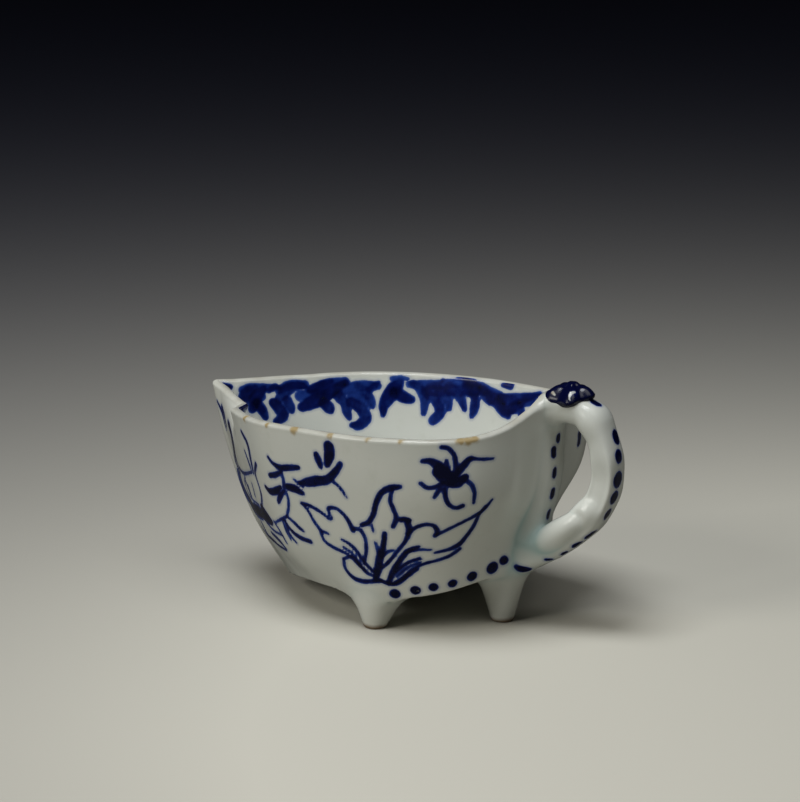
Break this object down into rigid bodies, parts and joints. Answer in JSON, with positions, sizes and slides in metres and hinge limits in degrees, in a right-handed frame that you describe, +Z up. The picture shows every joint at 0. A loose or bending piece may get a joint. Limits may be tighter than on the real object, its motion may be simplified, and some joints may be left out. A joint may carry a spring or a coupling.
{
  "type": "butter boat",
  "caption": "Small leaf-shaped porcelain butter boat with a pinched pouring lip, a looped twig handle with a flower thumb rest, and peg feet.",
  "frame": {"origin": "on the table, half way between the lip tip and the outside of the handle, in the middle plane", "axes": "+X from the pouring lip to the handle, +Y to the far side, +Z up"},
  "size_m": [0.0982, 0.0596, 0.0529],
  "materials": {
    "glazed_porcelain": "gloss glaze, faintly blue-green, with underglaze blue painting",
    "cobalt_glaze": "underglaze cobalt blue under gloss glaze"
  },
  "bodies": {
    "root": {"bowl": "glazed_porcelain", "handle": "glazed_porcelain", "back_stalk": "glazed_porcelain", "shoulder_knot": "glazed_porcelain", "heel_knot": "glazed_porcelain", "cut_twig_end": "glazed_porcelain", "flower_thumb_rest": "cobalt_glaze", "foot_near": "glazed_porcelain", "foot_far": "glazed_porcelain", "foot_rear": "glazed_porcelain"}
  },
  "joints": []
}
